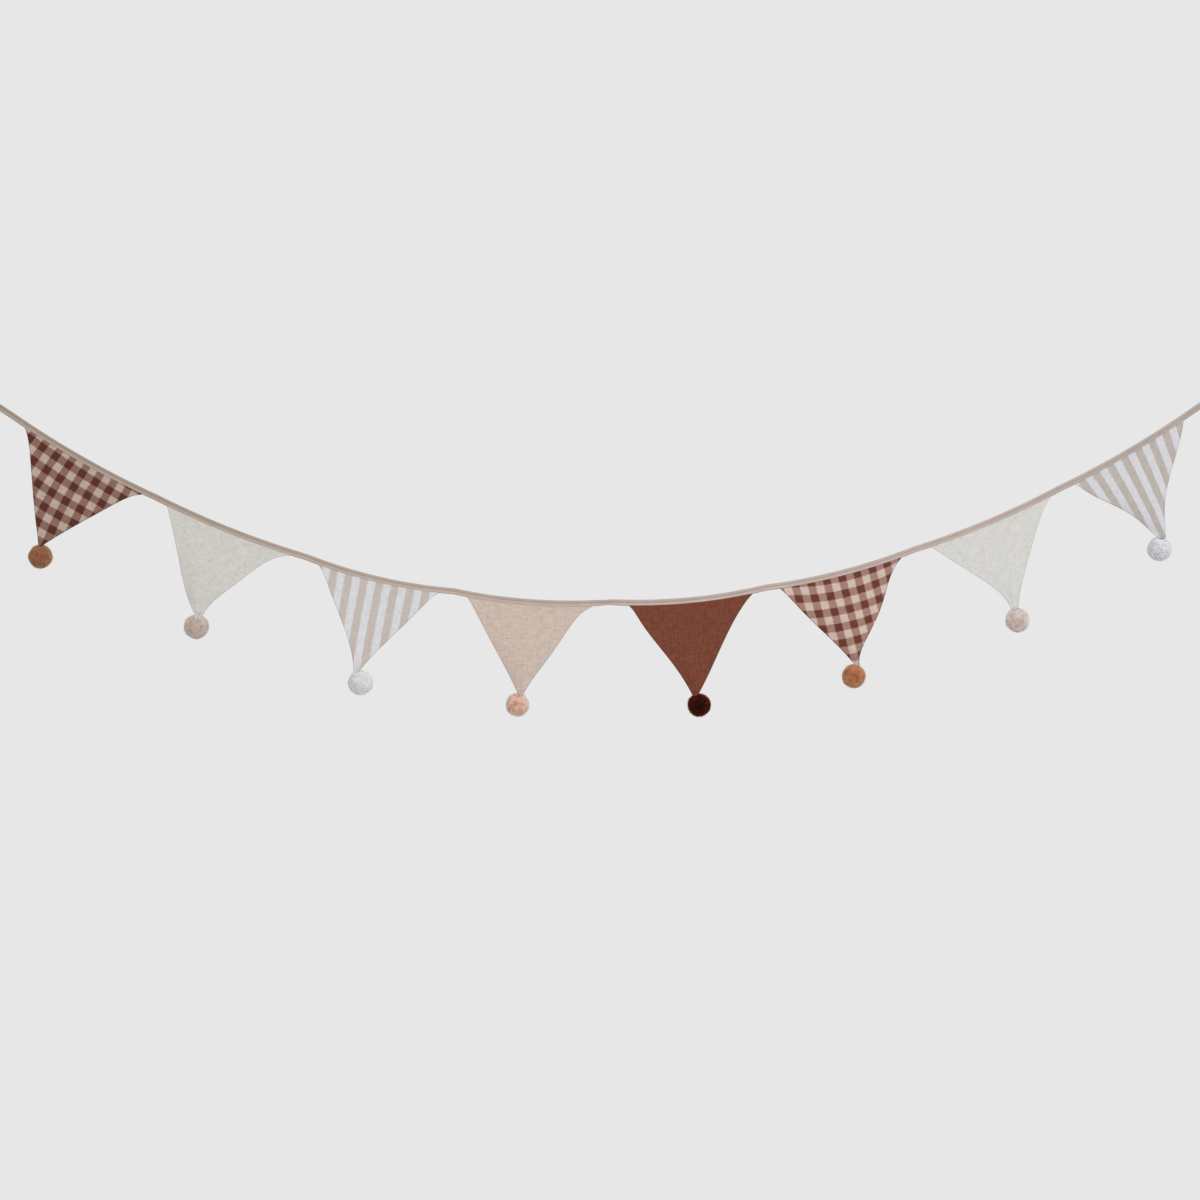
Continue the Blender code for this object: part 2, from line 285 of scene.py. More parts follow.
def tape_place(length, depth, height):
    """A point of the tape's section in space, with the tape's own slight twists."""
    centre, _, upwards = binding_frame(length)
    turn = sum(math.radians(t.turn) * math.exp(-(((length - t.at) / t.spread) ** 2)) for t in TWISTS)
    turned_depth = depth * math.cos(turn) - height * math.sin(turn)
    turned_height = depth * math.sin(turn) + height * math.cos(turn)
    return centre + Vector((0, turned_depth, 0)) + turned_height * upwards


def rolled_strip(rows):
    """A closed skin through rows of (point, cloth place, mark), where each row goes once round.

    The UV map "cloth" holds places on the flat cloth, in metres, and "mark" what the material needs besides.
    """
    skin = bmesh.new()
    places = skin.loops.layers.uv.new("cloth")
    marks = skin.loops.layers.uv.new("mark")
    bmesh.ops.create_grid(skin, x_segments=len(rows[0]) - 1, y_segments=len(rows) - 1, size=1)
    skin.verts.index_update()
    entries = [entry for row in rows for entry in row]
    for face in skin.faces:
        for loop in face.loops:
            loop[places].uv = entries[loop.vert.index][1]
            loop[marks].uv = entries[loop.vert.index][2]
    for vert, entry in zip(skin.verts, entries):
        vert.co = entry[0]
    bmesh.ops.remove_doubles(skin, verts=skin.verts, dist=1e-6)
    bmesh.ops.holes_fill(skin, edges=[edge for edge in skin.edges if edge.is_boundary], sides=0)
    bmesh.ops.recalc_face_normals(skin, faces=skin.faces)
    return skin


def drawn_noise(tree, places, stretch, detail):
    """Noise that is drawn out along one thread. stretch: its rates over the cloth's two directions."""
    drawn = node(tree, "Mapping", {"Vector": places, "Scale": (*stretch, 1)}).outputs[0]
    return node(tree, "TexNoise", {"Vector": drawn, "Scale": 1.0, "Detail": detail}).outputs["Fac"]


def weave(tree, places, pitch, turn=0.0):
    """Plain weave: (height, which of the two threads lies on top, the threads' own unevenness)."""
    turned = node(tree, "Mapping", {"Vector": places, "Rotation": (0, 0, turn)}).outputs[0]
    wander = node(tree, "TexNoise", {"Vector": turned, "Scale": THREAD_WANDER_RATE / pitch, "Detail": 2.0})
    wander_length = (pitch * THREAD_WANDER,) * 3
    shift = node(tree, "VectorMath", {0: wander.outputs["Color"], 1: wander_length}, operation="MULTIPLY")
    threads = node(tree, "VectorMath", {0: turned, 1: shift.outputs[0]}, operation="ADD").outputs[0]
    phase = node(tree, "VectorMath", {0: threads, 1: (math.pi / pitch,) * 3}, operation="MULTIPLY")
    wave = node(tree, "VectorMath", {0: phase.outputs[0]}, operation="SINE")
    round_thread = node(tree, "VectorMath", {0: wave.outputs[0]}, operation="ABSOLUTE")
    parts = node(tree, "SeparateXYZ", {0: round_thread.outputs[0]})
    lifted = node(tree, "VectorMath", {0: threads, 1: (0, 0, pitch / 2)}, operation="ADD")
    on_top = node(tree, "TexChecker", {"Vector": lifted.outputs[0], "Scale": 1 / pitch}).outputs["Fac"]
    height = node(tree, "Mix", {0: on_top, 2: parts.outputs[0], 3: parts.outputs[1]}).outputs[0]
    along, across = (rate / pitch for rate in SLUB_RATES)
    slubs = [drawn_noise(tree, turned, stretch, 3.0) for stretch in ((along, across), (across, along))]
    uneven = node(tree, "Mix", {0: on_top, 2: slubs[0], 3: slubs[1]}).outputs[0]
    return height, on_top, uneven


def shade_by(tree, colour, amount, low, high, start=0.25, end=0.75):
    """Multiplies a colour by a grey that goes from low to high as the amount goes from start to end."""
    limits = {"From Min": start, "From Max": end, "To Min": low, "To Max": high}
    grey = node(tree, "MapRange", {"Value": amount, **limits}).outputs[0]
    factors = {"Fac": 1.0, "Color1": colour, "Color2": grey}
    return node(tree, "MixRGB", factors, blend_type="MULTIPLY").outputs[0]


# Bias-cut plain cotton, so its threads run at 45 degrees to the tape. It is matt, with a slight sheen of
# raised fibre. Painted shade darkens it in the stitched groove and in the hollows of its weave. Above the
# seam it is painted darker as shade and below it lighter as painted light, and the two meet in an uneven
# line.
COTTON_ROUGHNESS = 0.92
RAISED_FIBRE = {"Sheen_Roughness": 0.6, "Specular_IOR_Level": 0.2}
SEAM_WANDER = 0.0010
TINTS_MEET = 0.0008  # half the width over which they do
# Painted shade in the stitched groove, as a share of the tape's colour.
SEAM_SHADE = 0.79
SEAM_SHADE_MIDDLE = STITCH_LINE + 0.0004
SEAM_SHADE_REACH = (0.0002, 0.0018)  # from its middle, where the shade is full and where it ends
TAPE_MOTTLE_TINT = (0.93, 1.05)
TAPE_SLUB_TINT = (0.90, 1.08)
TAPE_WEAVE_HOLLOW_SHADE = (0.92, 1.04)
soft = {"Sheen_Weight": 0.25, **RAISED_FIBRE}
cotton_tape, tree, shader = new_material("bias_cut_cotton", COTTON_ROUGHNESS, **soft)
places = node(tree, "UVMap", uv_map="cloth").outputs[0]
height, _, uneven = weave(tree, places, THREAD_PITCH, math.pi / 4)
rise = node(tree, "SeparateXYZ", {0: node(tree, "UVMap", uv_map="mark").outputs[0]}).outputs[1]
length_along = node(tree, "SeparateXYZ", {0: places}).outputs[0]
run = node(tree, "Math", {0: length_along, 1: 2 * HALF_LENGTH}, operation="DIVIDE").outputs[0]
upper_shaded_tint = node(tree, "ValToRGB", {"Fac": run})
lower_lit_tint = node(tree, "ValToRGB", {"Fac": run})
for number, tint in enumerate(TAPE_LIT_TINTS):
    for ramp, hex_colour in ((upper_shaded_tint.color_ramp, tint.upper), (lower_lit_tint.color_ramp, tint.lower)):
        place = tint.at / (2 * HALF_LENGTH)
        element = ramp.elements[number] if number < 2 else ramp.elements.new(place)
        element.position = place
        element.color = linear(hex_colour)
mottle = node(tree, "TexNoise", {"Vector": places, "Scale": 45.0, "Detail": 4.0}).outputs["Fac"]
wandering = node(tree, "Math", {0: mottle, 1: SEAM_WANDER, 2: rise}, operation="MULTIPLY_ADD").outputs[0]
centred = node(tree, "Math", {0: wandering, 1: SEAM_WANDER / 2}, operation="SUBTRACT").outputs[0]
meeting = {"From Min": STITCH_LINE - TINTS_MEET, "From Max": STITCH_LINE + TINTS_MEET}
above = node(tree, "MapRange", {"Value": centred, **meeting}).outputs[0]
# Painted shade above the seam and painted light on the lip below it, over tints that vary along the tape.
shaded_and_lit_tints = {"Color1": lower_lit_tint.outputs[0], "Color2": upper_shaded_tint.outputs[0]}
tinted = node(tree, "MixRGB", {"Fac": above, **shaded_and_lit_tints}).outputs[0]
# Painted shade: darker along the stitched groove, where the stitches draw the leaves in.
off_seam = node(tree, "Math", {0: rise, 1: SEAM_SHADE_MIDDLE}, operation="SUBTRACT").outputs[0]
from_seam = node(tree, "Math", {0: off_seam}, operation="ABSOLUTE").outputs[0]
groove_shaded = shade_by(tree, tinted, from_seam, SEAM_SHADE, 1.0, *SEAM_SHADE_REACH)
mottled = shade_by(tree, groove_shaded, mottle, *TAPE_MOTTLE_TINT)
slubbed = shade_by(tree, mottled, uneven, *TAPE_SLUB_TINT)
# Painted shade in the hollows between the threads, and painted light on their crowns.
tree.links.new(shade_by(tree, slubbed, height, *TAPE_WEAVE_HOLLOW_SHADE), shader.inputs["Base Color"])
relief = node(tree, "Bump", {"Height": height, "Strength": 0.5, "Distance": 0.00018})
tree.links.new(relief.outputs[0], shader.inputs["Normal"])

station_count = round(2 * HALF_LENGTH / STATION_STEP)
rows = []
for number in range(station_count + 1):
    length = 2 * HALF_LENGTH * number / station_count
    section = tape_section(length)
    row = []
    girth = 0.0
    for (depth, height_here), before in zip(section, [section[0], *section]):
        girth += math.hypot(depth - before[0], height_here - before[1])
        row.append((tape_place(length, depth, height_here), (length, girth), (depth, height_here)))
    rows.append(row)
tape = new_piece("bias_tape", rolled_strip(rows), cotton_tape)
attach(tape, "root")
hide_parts("binding")

# The stitches: one row of spun polyester thread of about the tape's own colour. It is sewn by machine
# through both leaves and the pennants between them, 3 mm from needle hole to needle hole.
TWIST_RATE = 1800.0
thread, tree, shader = new_material("spun_sewing_thread", 0.7, Sheen_Weight=0.3)
spot = node(tree, "TexCoord").outputs["Object"]
twist = node(tree, "TexNoise", {"Vector": spot, "Scale": TWIST_RATE}).outputs["Fac"]
tree.links.new(shade_by(tree, linear(THREAD_BEIGE), twist, 0.85, 1.05), shader.inputs["Base Color"])
sewn = bmesh.new()
stitch_count = int(2 * HALF_LENGTH / STITCH_PITCH)
for number in range(1, stitch_count):
    length = number * STITCH_PITCH
    depth = half_depth(length) * STITCH_SEAT + STITCH_RADIUS * STITCH_PROUD
    _, direction, upwards = binding_frame(length)
    lay = Matrix((direction, Vector((0, 1, 0)), upwards)).transposed().to_4x4()
    size = Matrix.Diagonal((STITCH_LENGTH / 2, STITCH_RADIUS, STITCH_RADIUS, 1))
    for side in (-1, 1):
        place = Matrix.Translation(tape_place(length, side * depth, STITCH_LINE))
        bmesh.ops.create_icosphere(sewn, subdivisions=1, radius=1, matrix=place @ lay @ size)
stitches = new_piece("tape_stitches", sewn, thread)
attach(stitches, "root")


# Pennants: a front and a back of linen or cotton, sewn together along the two long sides and turned, so that
# their edges are soft rolls with the seam allowance inside. The binding holds their top edges, and their
# points are gathered.
TOP_IN_BINDING = 0.0070
LEVELS_IN_BINDING = (1.0, 0.6, 0.3)  # shares of that height, from the top edge down
CAUGHT_SHARE = 0.03  # of the height, over which the seams swell below the tape
HALF_CLOTH = 0.00050  # of the two layers together
SEAM_SWELL = 0.00028  # what the turned-in allowance adds to each face
ALLOWANCE = 0.0055  # turned in along each side
SWELL_FULL = 0.6 * ALLOWANCE  # from the edge. The swell is gone at twice that.
EDGE_ROLL = 0.0009
EDGE_ROLL_SHARE = 0.45  # of half the width, where the cloth is narrower than that
ALMOST_NOTHING = 1e-9
LOOSEST = 27 / 4  # makes the looseness 1 at its fullest, two thirds of the way down
RIPPLE_HALF_WIDTH = 0.35  # of the soft fold, as a share of the pennant's half width
FLARE_SHARE = 0.06  # of the height, over which a corner's flare dies out
BOW_AT = (0.0, 0.30, 0.60, 0.86, 1.0)  # shares of a side's height where its bows are given
FROM_EDGE = (0.0, 0.00012, 0.00045, 0.0011, 0.0025, 0.0048, 0.0080)  # columns near a side, in metres from it
NARROW = 0.030  # half width under which those columns draw closer
INNER_COLUMNS = 30
CLOTH_ROWS = 84
POINT_ROWS = 7
POINT_ROWS_POWER = 0.8  # sets the point's first rows a little further apart
POINT_ROUNDING = (0.3, 50)  # least power of a point's taper, and what each metre of its length adds
BULGE_UNEVENNESS = 0.0007
BULGE_RATE = 30
BULGE_ENDS = (0.15, 0.1)  # shares of the height over which the bulges die out at the top and the point
NECK_FORWARD = 0.0030  # of the pompom's middle, which the point is sewn on in front
NECK_BEND_SHARE = 0.08
POINT_ON_BALL = 0.90  # of the ball's own roundness, so that the point lies a little way into the locks
GATHERS = 0.0009
GATHERED_SHARE = 0.12
GATHER_WAVES = 2.5
GATHER_SHIFT = 0.3  # from one pennant's gathers to the next one's
CREASE_FADES = 0.5  # share of a crease's rise that is gone at its end

# How far a side bows out from the line between its corner and the neck, and how far the corner flares.
Side = namedtuple("Side", "upper middle lower flare")

# How threads run away from the pennant's own two directions. slope: across for each metre along. fan: how
# much closer together they get for each metre along. curve: their bend.
Lay = namedtuple("Lay", "slope fan curve")
STRAIGHT = Lay(0.0, 0.0, 0.0)

# A soft crease from one place to another, each given as (across, share down). rise: towards the front.
Crease = namedtuple("Crease", "start end rise width")

# drop: from the binding's centreline to the neck. lean: of the neck along the binding. neck: its half
# width. swing: the pompom's angle from plumb. ball: its radius. tip, belly, turn: how far the point, the
# middle and the right half hang forwards. ripple: the height of the soft fold at ripple_at. over: how far
# the point runs down over the pompom. columns, rows: how the cloth's two sets of threads lie. cloth, yarn:
# which ones it is made of.
Pennant = namedtuple(
    "Pennant",
    "drop lean neck swing ball left right tip belly turn ripple ripple_at over "
    "columns rows cloth yarn creases",
)
PENNANTS = (
    Pennant(0.1496, 0.0080, 0.0047, -4.5, 0.0196,
            Side(-0.0002, 0.0008, 0.0004, 0.0050), Side(-0.0012, -0.0021, -0.0017, 0.0090),
            0.004, 0.003, -0.003, 0.0015, 0.3, 0.0035,
            Lay(-0.0720, -0.71, 0.72), Lay(0.0657, 0.59, 0.12), "gingham_low", "camel",
            (Crease((-0.5, 0.15), (0.1, 0.55), 0.0009, 0.009),
             Crease((0.2, 0.98), (0.35, 0.60), -0.0012, 0.005))),
    Pennant(0.1428, 0.0055, 0.0072, -11, 0.0202,
            Side(0.0030, 0.0062, 0.0060, 0.0021), Side(-0.0101, -0.0097, -0.0074, 0.0090),
            0.002, 0.005, 0.004, 0.0020, 0.5, 0.0100,
            STRAIGHT, STRAIGHT, "cream", "mauve",
            (Crease((0.35, 1.0), (0.75, 0.45), -0.0016, 0.006),
             Crease((-0.2, 0.95), (-0.35, 0.35), 0.0010, 0.008))),
    Pennant(0.1493, -0.0007, 0.0061, 16.5, 0.0203,
            Side(-0.0007, -0.0065, -0.0055, 0.0072), Side(0.0028, 0.0, -0.0013, 0.0083),
            0.006, 0.002, -0.004, 0.0015, -0.4, 0.0022,
            Lay(0.0380, 0.26, 0.08), STRAIGHT, "stripe_left", "white",
            (Crease((-0.3, 0.98), (-0.5, 0.55), -0.0010, 0.005),
             Crease((0.6, 0.10), (0.2, 0.45), 0.0008, 0.010))),
    Pennant(0.1460, -0.0041, 0.0056, -14, 0.0191,
            Side(0.0002, -0.0006, -0.0011, 0.0019), Side(-0.0024, -0.0014, -0.0023, 0.0090),
            0.003, 0.006, 0.002, 0.0025, 0.2, 0.0040,
            STRAIGHT, STRAIGHT, "sand", "peach",
            (Crease((0.30, 0.62), (0.75, 0.40), -0.0022, 0.0045),
             Crease((0.1, 0.95), (0.45, 0.55), -0.0008, 0.006))),
    Pennant(0.1492, -0.0070, 0.0062, 16, 0.0192,
            Side(0.0051, -0.0003, -0.0019, 0.0074), Side(-0.0051, -0.0028, -0.0002, 0.0024),
            0.005, 0.003, -0.002, 0.0018, -0.3, 0.0030,
            STRAIGHT, STRAIGHT, "rust", "maroon",
            (Crease((-0.9, 0.88), (0.9, 0.86), -0.0018, 0.0022),
             Crease((0.0, 0.85), (0.15, 0.40), 0.0009, 0.008))),
    Pennant(0.1476, -0.0116, 0.0052, -15, 0.0194,
            Side(0.0018, -0.0001, -0.0014, 0.0030), Side(-0.0047, -0.0036, -0.0079, 0.0),
            0.001, 0.004, 0.004, 0.0020, -0.2, 0.0018,
            Lay(-0.0147, 0.21, 0.08), Lay(0.0407, 0.46, -0.80), "gingham_high", "tan",
            (Crease((-0.2, 0.98), (-0.4, 0.62), -0.0012, 0.005),
             Crease((0.5, 0.12), (0.3, 0.50), 0.0008, 0.010))),
    Pennant(0.1424, -0.0193, 0.0064, 14, 0.0198,
            Side(-0.0052, -0.0104, -0.0086, 0.0), Side(-0.0041, -0.0051, -0.0036, 0.0061),
            0.004, 0.005, -0.005, 0.0020, 0.4, 0.0020,
            STRAIGHT, STRAIGHT, "pale", "mauve_light",
            (Crease((-0.3, 1.0), (-0.7, 0.50), -0.0014, 0.006),
             Crease((0.2, 0.95), (0.3, 0.40), 0.0009, 0.008))),
    Pennant(0.1430, -0.0252, 0.0076, -6.5, 0.0197,
            Side(0.0038, -0.0048, -0.0030, 0.0090), Side(-0.0028, -0.0115, -0.0056, 0.0050),
            0.003, 0.003, 0.003, 0.0015, -0.5, 0.0030,
            Lay(-0.0747, 1.98, -0.20), STRAIGHT, "stripe_right", "white_cool",
            (Crease((0.2, 0.98), (0.5, 0.50), 0.0012, 0.006),
             Crease((-0.6, 0.30), (-0.1, 0.60), -0.0009, 0.009))),
)


def side_bow(side, share):
    """How far a side stands out here: a smooth line through its three bows, and the corner's flare."""
    out = side.flare * math.exp(-share / FLARE_SHARE)
    for at, bow in zip(BOW_AT, (0.0, side.upper, side.middle, side.lower, 0.0)):
        others = [other for other in BOW_AT if other != at]
        out += bow * math.prod((share - other) / (at - other) for other in others)
    return out


def neck_frame(cell, pennant):
    """The neck's centre where it meets the pompom, the way down into it, and the way across the neck."""
    centre, direction, upwards = binding_frame(cell.middle)
    neck = centre + pennant.lean * direction - pennant.drop * upwards
    neck.y = -pennant.tip
    angle = math.radians(pennant.swing)
    down = Vector((math.sin(angle), 0, -math.cos(angle)))
    right_way = Vector((math.cos(angle), 0, math.sin(angle)))
    return neck, down, right_way


def cloth_depth(pennant, across, share, half_width, seed):
    """How far the cloth stands forwards here: its hanging shape, creases, gathers and slight bulges."""
    loose = LOOSEST * share * share * (1 - share)
    ripple = pennant.ripple * math.exp(-(((across - pennant.ripple_at) / RIPPLE_HALF_WIDTH) ** 2))
    fullness = pennant.belly * (1 - across * across) + pennant.turn * across + ripple
    depth = pennant.tip * smooth(share) + loose * fullness
    here = Vector((across * half_width, share * pennant.drop))
    for crease in pennant.creases:
        start = Vector((crease.start[0] * half_width, crease.start[1] * pennant.drop))
        end = Vector((crease.end[0] * half_width, crease.end[1] * pennant.drop))
        run = end - start
        part = min(max((here - start).dot(run) / run.length_squared, 0.0), 1.0)
        away = (here - start - part * run).length
        depth += crease.rise * math.exp(-((away / crease.width) ** 2)) * (1 - CREASE_FADES * part)
    gathered = math.exp(-(((1 - share) / GATHERED_SHARE) ** 2))
    gather_wave = math.cos(math.pi * (GATHER_WAVES * across + GATHER_SHIFT * seed))
    depth += GATHERS * gathered * gather_wave * (1 - across * across)
    depth += NECK_FORWARD * smooth((share - 1 + NECK_BEND_SHARE) / NECK_BEND_SHARE)
    uneven = noise.noise(Vector((here.x * BULGE_RATE + seed * 7, here.y * BULGE_RATE, seed)))
    at_top, at_point = BULGE_ENDS
    return depth + BULGE_UNEVENNESS * uneven * smooth(share / at_top) * smooth((1 - share) / at_point)


def point_forward(pennant, below):
    """How far the point bends forwards over the pompom from the neck, this far below the pompom's top."""
    below = max(below, 0.0)
    return max(POINT_ON_BALL * math.sqrt(below * (2 * pennant.ball - below)) - NECK_FORWARD, 0.0)


def point_half_width(pennant, below):
    """A short point ends bluntly, and a long one comes to a tip."""
    least, with_length = POINT_ROUNDING
    return pennant.neck * max(1 - below / pennant.over, 0.0) ** (least + with_length * pennant.over)


def half_thickness(from_edge, half_width, caught):
    """Half the thickness of the two layers this far from the side's edge. caught is 1 inside the tape."""
    roll = min(from_edge / min(EDGE_ROLL, EDGE_ROLL_SHARE * half_width + ALMOST_NOTHING), 1.0)
    swell = SEAM_SWELL * (1 - smooth((from_edge - SWELL_FULL) / SWELL_FULL)) * (1 - caught)
    return (HALF_CLOTH + swell) * math.sqrt(max(1 - (1 - roll) ** 2, 0.0))


def columns_across(half_width):
    """(across, distance from the nearer side) for each column, close together near the sides."""
    width = 2 * half_width
    squeeze = min(1.0, half_width / NARROW)
    near = [distance * squeeze for distance in FROM_EDGE]
    inner = [near[-1] + (width - 2 * near[-1]) * i / INNER_COLUMNS for i in range(1, INNER_COLUMNS)]
    places = near + inner + [width - distance for distance in near[::-1]]
    return [(x / half_width - 1 if half_width else 0.0, min(x, width - x)) for x in places]


def thread_place(across, along, lay):
    """Where a place on the pennant lies across one set of its threads."""
    return (across - lay.slope * along - lay.curve * along * along) / (1 - lay.fan * along)


def pennant_rows(cell, pennant, seed):
    """Rows of (point, cloth place, mark) once round the two layers, from the top edge to the point."""
    origin, direction, upwards = binding_frame(cell.middle)
    neck, down, right_way = neck_frame(cell, pennant)
    line_ends = [binding_frame(cell.middle + sign * cell.width / 2)[0] for sign in (-1, 1)]
    levels = [(0.0, TOP_IN_BINDING * part, 0.0) for part in LEVELS_IN_BINDING]
    levels += [(row / CLOTH_ROWS, 0.0, 0.0) for row in range(CLOTH_ROWS + 1)]
    point_shares = [(row / POINT_ROWS) ** POINT_ROWS_POWER for row in range(1, POINT_ROWS + 1)]
    levels += [(1.0, 0.0, pennant.over * part) for part in point_shares]
    rows = []
    for number, (share, lift, below) in enumerate(levels):
        ends = []
        for side, sign in ((pennant.left, -1), (pennant.right, 1)):
            above = binding_frame(cell.middle + sign * (cell.width / 2 - side.flare))[0]
            corner = above - BINDING_HEIGHT / 2 * upwards
            foot = neck + sign * pennant.neck * right_way
            ends.append(corner.lerp(foot, share) + sign * side_bow(side, share) * direction)
        if below:
            half = point_half_width(pennant, below)
            ends = [neck + below * down - half * right_way, neck + below * down + half * right_way]
        half_width = (ends[1] - ends[0]).length / 2
        layers = {-1: [], 1: []}
        for across, from_edge in columns_across(half_width):
            flat = ends[0].lerp(ends[1], (across + 1) / 2)
            hung = binding_frame(cell.middle + across * cell.width / 2)[0]
            sag = hung - line_ends[0].lerp(line_ends[1], (across + 1) / 2)
            point = flat + (1 - share) * sag + lift * upwards
            forward = cloth_depth(pennant, across, share, half_width, seed) + point_forward(pennant, below)
            caught = 1 - smooth(share / CAUGHT_SHARE)
            thick = half_thickness(from_edge, half_width, caught) if number else 0.0
            x, y = (flat - origin).dot(direction), -(flat - origin).dot(upwards) - lift
            place = (thread_place(x, y, pennant.columns), thread_place(y, x, pennant.rows))
            for layer in (-1, 1):
                spot = Vector((point.x, layer * thick - forward, point.z))
                # The mark's first value grows down the point, so that the painted seam shade fades out
                # there.
                layers[layer].append((spot, place, (from_edge + 2 * below, y)))
        rows.append(layers[-1] + layers[1][-2::-1])
    return rows


THICK_THREAD_RATES = (360, 72)  # across the threads and along them: one thick thread in about 2.8 mm
BAND_EDGE_RATES = (120, 600)  # of its wander, across a band's edge and along it
BAND_WANDER = 0.9  # of a band's edge from thread to thread, in radians of its period
BAND_EDGE = 0.14  # of the wave, on either side of its middle, over which light turns to dark


def place_wave(tree, places, axis, period, phase):
    """1 in the light half of a pattern of bands across this axis, and 0 in the dark half."""
    stretch = BAND_EDGE_RATES if axis == 0 else BAND_EDGE_RATES[::-1]
    wandering = {0: drawn_noise(tree, places, stretch, 2.0), 1: BAND_WANDER, 2: phase - BAND_WANDER / 2}
    start = node(tree, "Math", wandering, operation="MULTIPLY_ADD").outputs[0]
    place = node(tree, "SeparateXYZ", {0: places}).outputs[axis]
    turning = {0: place, 1: 2 * math.pi / period, 2: start}
    turned = node(tree, "Math", turning, operation="MULTIPLY_ADD").outputs[0]
    wave = node(tree, "Math", {0: turned}, operation="COSINE").outputs[0]
    return node(tree, "MapRange", {"Value": wave, "From Min": -BAND_EDGE, "From Max": BAND_EDGE}).outputs[0]


SLUB_TINT = (0.93, 1.07)
MOTTLE_TINT = (0.96, 1.035)
# Painted shade in the weave's hollows and painted light on the crowns of its threads.
WEAVE_HOLLOW_SHADE = (0.95, 1.03)
SEAM_EDGE = (0.0006, 0.0024)  # from a side's edge, where its shade begins to fade and where it is gone


def finish_cloth(tree, shader, places, colour, height, uneven, edge_shade, grain):
    """The cloth's slubs and mottling over its colours, painted shade along its side seams and in the hollows
    of its weave, and the relief of its weave.
    """
    mottle = node(tree, "TexNoise", {"Vector": places, "Scale": 60.0, "Detail": 4.0, "Roughness": 0.6})
    slubbed = shade_by(tree, colour, uneven, *SLUB_TINT)
    for stretch, strength in zip((THICK_THREAD_RATES, THICK_THREAD_RATES[::-1]), grain):
        thick_threads = drawn_noise(tree, places, stretch, 2.0)
        slubbed = shade_by(tree, slubbed, thick_threads, 1 - strength, 1 + strength)
    mottled = shade_by(tree, slubbed, mottle.outputs["Fac"], *MOTTLE_TINT)
    weave_shaded = shade_by(tree, mottled, height, *WEAVE_HOLLOW_SHADE)
    from_edge = node(tree, "SeparateXYZ", {0: node(tree, "UVMap", uv_map="mark").outputs[0]}).outputs[0]
    # Painted shade along the side seams, where the turned edges meet.
    seam_shaded = shade_by(tree, weave_shaded, from_edge, edge_shade, 1.0, *SEAM_EDGE)
    tree.links.new(seam_shaded, shader.inputs["Base Color"])
    relief = node(tree, "Bump", {"Height": height, "Strength": 0.6, "Distance": 0.00020}).outputs[0]
    slub_sockets = {"Height": uneven, "Strength": 0.5, "Distance": 0.0004, "Normal": relief}
    tree.links.new(node(tree, "Bump", slub_sockets).outputs[0], shader.inputs["Normal"])


CLOTHS = {}

# Washed linen, piece dyed: one colour, matt, with slubs in both threads. edge_shade: how dark the painted
# shade along its side seams is. grain: how much its thick threads show down and across it.
LINEN_ROUGHNESS = 0.93
Linen = namedtuple("Linen", "colour edge_shade grain")
LINENS = {
    "cream": Linen("C8C5BF", 0.88, (0.07, 0.09)),
    "pale": Linen("CCCBC7", 0.88, (0.07, 0.06)),
    "sand": Linen("C4B3A7", 0.80, (0.09, 0.12)),
    "rust": Linen("723F2F", 0.76, (0.20, 0.20)),
}
for name, cloth in LINENS.items():
    sheen = {"Sheen_Weight": 0.15, "Sheen_Tint": linear(cloth.colour)}
    linen, tree, shader = new_material(f"{name}_linen", LINEN_ROUGHNESS, **sheen, **RAISED_FIBRE)
    places = node(tree, "UVMap", uv_map="cloth").outputs[0]
    height, _, uneven = weave(tree, places, THREAD_PITCH)
    finish_cloth(tree, shader, places, linear(cloth.colour), height, uneven, cloth.edge_shade, cloth.grain)
    CLOTHS[name] = linen

# Yarn-dyed cotton gingham with checks of about 12.5 mm: dark bands of threads cross light ones, and half
# tones are where a dark and a light thread lie on each other. columns, rows: (period in metres, phase).
# How dark the painted shade along the side seams is.
GINGHAM_EDGE_SHADE = 0.56
GINGHAM_GRAIN = (0.08, 0.08)
THREAD_FLICK = 0.45  # how much the thread on top shows in a half tone
COTTON_SHEEN = 0.12
Gingham = namedtuple("Gingham", "dark half light columns rows")
GINGHAMS = {
    "gingham_low": Gingham("532C22", "805C52", "B2A093", (0.0250, 0.866), (0.02624, -0.570)),
    "gingham_high": Gingham("65382C", "9D7468", "C7B4AB", (0.02506, 3.055), (0.02642, 2.563)),
}
for name, check in GINGHAMS.items():
    sheen = {"Sheen_Weight": COTTON_SHEEN, "Sheen_Tint": linear(check.half)}
    cotton, tree, shader = new_material(f"{name}_cotton", COTTON_ROUGHNESS, **sheen, **RAISED_FIBRE)
    places = node(tree, "UVMap", uv_map="cloth").outputs[0]
    height, on_top, uneven = weave(tree, places, THREAD_PITCH)
    upright = place_wave(tree, places, 0, *check.columns)
    level = place_wave(tree, places, 1, *check.rows)
    both = node(tree, "Math", {0: upright, 1: level}, operation="ADD").outputs[0]
    difference = node(tree, "Math", {0: upright, 1: level}, operation="SUBTRACT").outputs[0]
    centred = node(tree, "Math", {0: on_top, 1: 0.5}, operation="SUBTRACT").outputs[0]
    flick = node(tree, "Math", {0: difference, 1: centred}, operation="MULTIPLY").outputs[0]
    tone = node(tree, "Math", {0: flick, 1: THREAD_FLICK, 2: both}, operation="MULTIPLY_ADD").outputs[0]
    share = node(tree, "Math", {0: tone, 1: 0.5}, operation="MULTIPLY").outputs[0]
    ramp = node(tree, "ValToRGB", {0: share})
    ramp.color_ramp.elements[0].color = linear(check.dark)
    ramp.color_ramp.elements[1].color = linear(check.light)
    ramp.color_ramp.elements.new(0.5).color = linear(check.half)
    finish_cloth(tree, shader, places, ramp.outputs[0], height, uneven, GINGHAM_EDGE_SHADE, GINGHAM_GRAIN)
    CLOTHS[name] = cotton
